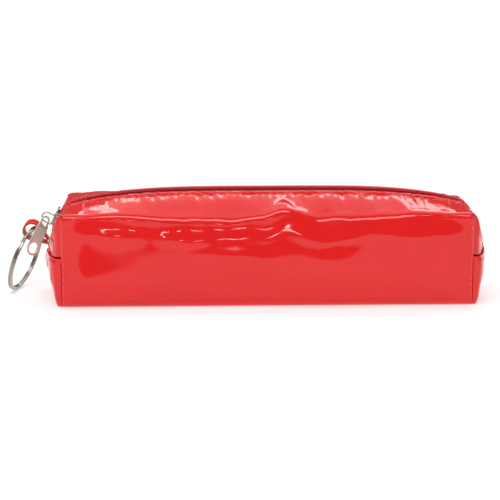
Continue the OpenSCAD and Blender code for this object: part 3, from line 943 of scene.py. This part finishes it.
def slider():
    """Slider body: two shaped plates, side flanges, a neck, and the bridge on top."""
    nose = [(-4.8, -2.2), (-3.6, -4.1), (2.2, -4.15), (3.6, -3.5), (4.3, -2.3), (4.0, -1.2), (4.3, -0.4)]
    outline = nose + [(x, -y) for x, y in reversed(nose)]
    parts = []
    for z, name in ((TOP_PLATE + PLATE_T / 2, "slider_top"), (LOW_PLATE - PLATE_T / 2, "slider_low")):
        parts.append(plate(name, outline, [], PLATE_T, 0.25, NICKEL, SLIDER @ Matrix.Translation((0, 0, z))))
    for sign in (-1, 1):
        beside = SLIDER @ Matrix.Translation((0, sign * LIP_Y, TOP_PLATE - 0.25))
        turn = beside @ Matrix.Rotation(math.pi / 2, 4, "X")
        lip = [(-4.2, -0.7), (2.0, -0.7), (2.8, 0.3), (-4.2, 0.3)]
        parts.append(plate("slider_lip", lip, [], 0.55, 0.12, NICKEL, turn))
    neck = [(-3.7, -0.8), (-2.1, -0.8), (-1.8, 0), (-2.1, 0.8), (-3.7, 0.8)]
    height = TOP_PLATE - LOW_PLATE + 0.2
    parts.append(plate("slider_neck", neck, [], height, 0.1, NICKEL,
                       SLIDER @ Matrix.Translation((0, 0, (TOP_PLATE + LOW_PLATE) / 2))))
    put(join("slider_casting", parts), "slider", "nickel", "slider_body")
    middle_r = BRIDGE_R + BRIDGE_T / 2
    low = TOP_PLATE + PLATE_T - 0.1
    path = [(BRIDGE_X - middle_r, h) for h in np.linspace(low, BRIDGE_Z, 8)[:-1]]
    path += circle_points((BRIDGE_X, BRIDGE_Z), middle_r, 180, 0, 25)
    path += [(BRIDGE_X + middle_r, h) for h in np.linspace(BRIDGE_Z, low, 8)[1:]]
    world = [SLIDER @ Vector((x, 0, z)) for x, z in path]
    bridge = tube("slider_arch", [tuple(p) for p in world], 1, NICKEL, 16,
                  flat=(BRIDGE_T / 2, BRIDGE_HALF_W), up=(0, 1, 0))
    put(bridge, "slider", "nickel", "slider_bridge")


PULL_PIVOT = np.array(JOINTS["pull_swing"]["pos_m"]) / MM
# The puller hangs turned and tilted, as in the photo.
PULL_TURN = (Matrix.Rotation(math.radians(25), 4, "Y") @ Matrix.Rotation(math.radians(-18), 4, "X")
             @ Matrix.Rotation(math.radians(42), 4, "Z"))
PULL_L = 20.4
PULL_W = 7.5
EYE_R = 1.9
EYE_RIM = 0.75
HOLE_R = 2.7


def pull():
    """Puller: a thin plate with a matte recessed panel, and a polished raised rim on both faces."""
    half = PULL_W / 2
    neck = EYE_R + EYE_RIM
    eye_top = -EYE_RIM / 2 - EYE_R
    eye_low = eye_top - 0.9
    hole_z = -(PULL_L - half)
    outline = circle_points((0, eye_top), neck, 0, 180)
    outline += [(-neck, eye_low), (-half + 0.42, eye_low - 2.4), (-half + 0.12, (eye_low + hole_z) / 2)]
    outline += circle_points((0, hole_z), half, 180, 360)
    outline += [(half - 0.12, (eye_low + hole_z) / 2), (half - 0.42, eye_low - 2.4), (neck, eye_low)]
    eye = circle_points((0, eye_top), EYE_R, 0, 180) + circle_points((0, eye_low), EYE_R, 180, 360)
    hole = circle_points((0, hole_z), HOLE_R, 0, 360, 41)[:-1]
    inner = half - 0.8
    panel_top = eye_low - EYE_R - 0.7
    opening = [(-inner + 0.25, panel_top), (inner - 0.25, panel_top), (inner - 0.1, (panel_top + hole_z) / 2)]
    opening += circle_points((0, hole_z), inner, 0, -180)
    opening += [(-inner + 0.1, (panel_top + hole_z) / 2)]
    stand = axes_matrix(PULL_PIVOT, (1, 0, 0), (0, 1, 0), (0, 0, 1)) @ PULL_TURN
    stand = stand @ axes_matrix((0, 0, 0), (1, 0, 0), (0, 0, 1), (0, -1, 0))
    below_eye = [(x * 0.96, z) for x, z in outline[ARC_POINTS:-1]]
    panel = plate("puller_panel", below_eye, [hole], 0.5, 0.08, BRUSHED_PAINTED_LIGHT, stand)
    rim = plate("puller_rim", outline, [eye, opening], 0.92, 0.22, RIM_NICKEL_PAINTED_LIGHT, stand)
    put(panel, "pull", "nickel")
    put(rim, "pull", "nickel", "pull_tab")


def stops():
    """The two stops beside the slider's rest place, and the one across the zip's right end."""
    low, high = box_mm("top_stops")
    middle = (low + high) / 2
    pieces = []
    for sign in (-1, 1):
        shape = [(-0.6, -0.85), (0.6, -0.85), (0.75, 0), (0.6, 0.85), (-0.6, 0.85), (-0.75, 0)]
        frame_at = axes_matrix((middle[0], sign * 2.3, middle[2]), (0, 1, 0), (0, 0, 1), (1, 0, 0))
        pieces.append(plate("stop", shape, [], high[0] - low[0], 0.2, NICKEL, frame_at))
    put(join("upper_stops", pieces), "pouch", "nickel", "top_stops")
    low, high = box_mm("bottom_stop")
    middle = (low + high) / 2
    wide, tall = (high - low)[1] / 2, (high - low)[2] / 2
    shape = [(-wide, -tall), (wide, -tall), (wide + 0.1, 0), (wide, tall), (-wide, tall), (-wide - 0.1, 0)]
    lower = plate("lower_stop", shape, [], high[0] - low[0], 0.2, NICKEL,
                  axes_matrix(middle, (0, 1, 0), (0, 0, 1), (1, 0, 0)))
    put(lower, "pouch", "nickel", "bottom_stop")


slider()
pull()
stops()


# --- Loop and split ring ------------------------------------------------------------------

LOOP_ROOT = np.array(JOINTS["loop_flex"]["pos_m"]) / MM
LOOP_RISE = math.radians(36)
LOOP_REACH = 11.5
LOOP_R = 4.6
STRAP_W = 6.2
STRAP_LEAN = 0.1   # how far the strap's width leans, so that the loop shows its inside


def strap_path(radius, root_half):
    """Side view of one layer of the strap: out along its lower side, round the end, and back."""
    touch = math.acos(radius / LOOP_REACH)
    points = [(-2.6, -root_half), (-1.2, -root_half), (0, -root_half), (1.4, -root_half * 1.3)]
    first = (LOOP_REACH - radius * math.cos(touch), -radius * math.sin(touch))
    for t in np.linspace(0.2, 0.9, 6):
        points.append((1.4 + (first[0] - 1.4) * t, -root_half * 1.3 + (first[1] + root_half * 1.3) * t))
    angle = 180 - math.degrees(touch)
    points += circle_points((LOOP_REACH, 0), radius, -angle, angle, 40)
    back = [(x, -z) for x, z in points[:10]]
    return points + back[::-1]


def strap_layer(name, radius, thick, root_half, material):
    """One layer of the strap, STRAP_W wide, with rounded edges."""
    path, ups = [], []
    for x, z in strap_path(radius, root_half):
        away = math.pi - LOOP_RISE
        px = x * math.cos(away) + z * math.sin(away)
        pz = x * math.sin(away) - z * math.cos(away)
        path.append((LOOP_ROOT[0] + px, LOOP_ROOT[1], LOOP_ROOT[2] + pz))
        lean = float(smooth(np.array(x / LOOP_REACH)))
        ups.append((0, 1, STRAP_LEAN * lean))
    return band(name, path, STRAP_W, thick, material, ups, corner=0.45, skewed=True)


def band(name, path, wide, thick, material, up, corner, skewed=False):
    """A flat band with a rounded rectangular section along path.

    wide is measured along up, which stays as given if skewed, and else is squared to the path.
    """
    path = np.asarray(path, float)
    ahead = directions(path)
    ups = unit(np.broadcast_to(np.asarray(up, float), path.shape))
    side = unit(np.cross(ahead, ups))
    if not skewed:
        ups = unit(np.cross(side, ahead))
    r = corner * min(wide, thick)
    section = []
    for cx, cz, start in ((1, 1, 0), (-1, 1, 90), (-1, -1, 180), (1, -1, 270)):
        section += circle_points((cx * (thick / 2 - r), cz * (wide / 2 - r)), r, start, start + 90, 5)
    section = np.array(section)
    points = path[:, None] + side[:, None] * section[None, :, :1] + ups[:, None] * section[None, :, 1:]
    return add_object(name, points.reshape(-1, 3), swept_faces(len(path), len(section)), material)


def loop():
    """The strap loop: vinyl outside, tan backing inside."""
    outer = strap_layer("side_loop_vinyl", LOOP_R - 0.37, 0.74, 0.62, RED)
    inner = strap_layer("side_loop_backing", LOOP_R - 0.86, 0.28, 0.2, TAN)
    for piece in (outer, inner):
        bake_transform(piece)
    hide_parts("strap_loop")


RING_R = 16.0


def ring():
    """Split ring: one flat wire wound twice, stepping from one turn to the other near the loop."""
    mount = next(m for m in frame["record"]["mounts"] if m["name"] == "split_ring")
    center = np.array(mount["pos_m"]) / MM
    axis = unit(np.array(mount["axis"], float))
    upward = unit(np.array([0, 0, 1.0]) - axis * axis[2])
    across = np.cross(axis, upward)
    path = []
    for turn in np.linspace(-0.985, 0.985, 240):
        angle = 2 * math.pi * turn + 0.5
        level = float(smooth(np.array((turn + 0.07) / 0.14))) - 0.5
        outwards = math.cos(angle) * upward + math.sin(angle) * across
        path.append(center + RING_R * outwards + axis * level)
    piece = band("two_turn_ring", path, 0.98, 1.8, NICKEL, tuple(axis), corner=0.3)
    put(piece, "ring", "nickel", "split_ring")


loop()
ring()


# --- Floor, light and camera ----------------------------------------------------------------

FLOOR_HALF = 6000
FLOOR_DROP = 0.02   # keeps the floor from flickering with the base


def floor():
    """Pale floor that glows more behind the object, so that the picture's background stays white."""
    made, nodes, links, shader = material("pale_floor", (0.7, 0.7, 0.7), 0.9)
    shader.inputs["Specular IOR Level"].default_value = 0.1
    shader.inputs["Emission Color"].default_value = (1, 1, 1, 1)
    split = nodes.new("ShaderNodeSeparateXYZ")
    links.new(place(nodes, links), split.inputs["Vector"])
    glow = nodes.new("ShaderNodeMapRange")
    for socket, value in (("From Min", 0.5), ("From Max", 1.5), ("To Min", 0.42), ("To Max", 0.95)):
        glow.inputs[socket].default_value = value
    links.new(split.outputs["Y"], glow.inputs["Value"])
    links.new(glow.outputs["Result"], shader.inputs["Emission Strength"])
    corners = [(x * FLOOR_HALF, y * FLOOR_HALF, 0) for x, y in ((-1, -1), (1, -1), (1, 1), (-1, 1))]
    mesh_floor = add_object("floor", corners, [[0, 1, 2, 3]], made)
    mesh_floor.location.z = -FLOOR_DROP * MM


def area_light(name, place_at, size, power, target=(0, 0, 0.03)):
    data = bpy.data.lights.new(name, "AREA")
    data.shape = "RECTANGLE"
    data.size, data.size_y = size
    data.energy = power
    lamp = bpy.data.objects.new(name, data)
    lamp.location = place_at
    lamp.rotation_euler = (Vector(target) - Vector(place_at)).to_track_quat("-Z", "Y").to_euler()
    bpy.context.scene.collection.objects.link(lamp)


def lights():
    """Dim world and soft boxes; the narrow ones draw the highlights on the vinyl."""
    world = bpy.data.worlds.new("studio")
    world.use_nodes = True
    world.node_tree.nodes["Background"].inputs["Color"].default_value = (1, 1, 1, 1)
    world.node_tree.nodes["Background"].inputs["Strength"].default_value = 0.16
    bpy.context.scene.world = world
    area_light("back_top", (0.0, 0.5, 1.2), (2.4, 1.5), 13)
    area_light("overhead_front", (-0.2, -0.75, 1.15), (1.3, 0.45), 10)
    area_light("back_strip", (0.15, 0.95, 0.95), (0.9, 0.2), 1.7)
    area_light("front_strip", (-0.12, -1.6, 0.37), (0.2, 0.035), 0.6)
    area_light("left_strip", (-1.1, -0.5, 0.55), (0.3, 0.9), 1.0)
    area_light("right_strip", (1.1, -0.4, 0.5), (0.3, 0.9), 1.0)


def camera():
    """The photo's viewpoint: slightly above the pouch, nearly square to its front."""
    data = bpy.data.cameras.new("camera")
    data.lens = 112.7
    data.sensor_width = 36.0
    data.clip_end = 20
    view = bpy.data.objects.new("camera", data)
    view.location = (-0.0292, -0.7501, 0.1876)
    yaw, pitch = math.radians(1.63), math.radians(12.4)
    ahead = Vector((math.sin(yaw) * math.cos(pitch), math.cos(yaw) * math.cos(pitch), -math.sin(pitch)))
    view.rotation_euler = ahead.to_track_quat("-Z", "Y").to_euler()
    bpy.context.scene.collection.objects.link(view)
    bpy.context.scene.camera = view


floor()
lights()
camera()
bpy.context.scene.view_settings.view_transform = "Standard"
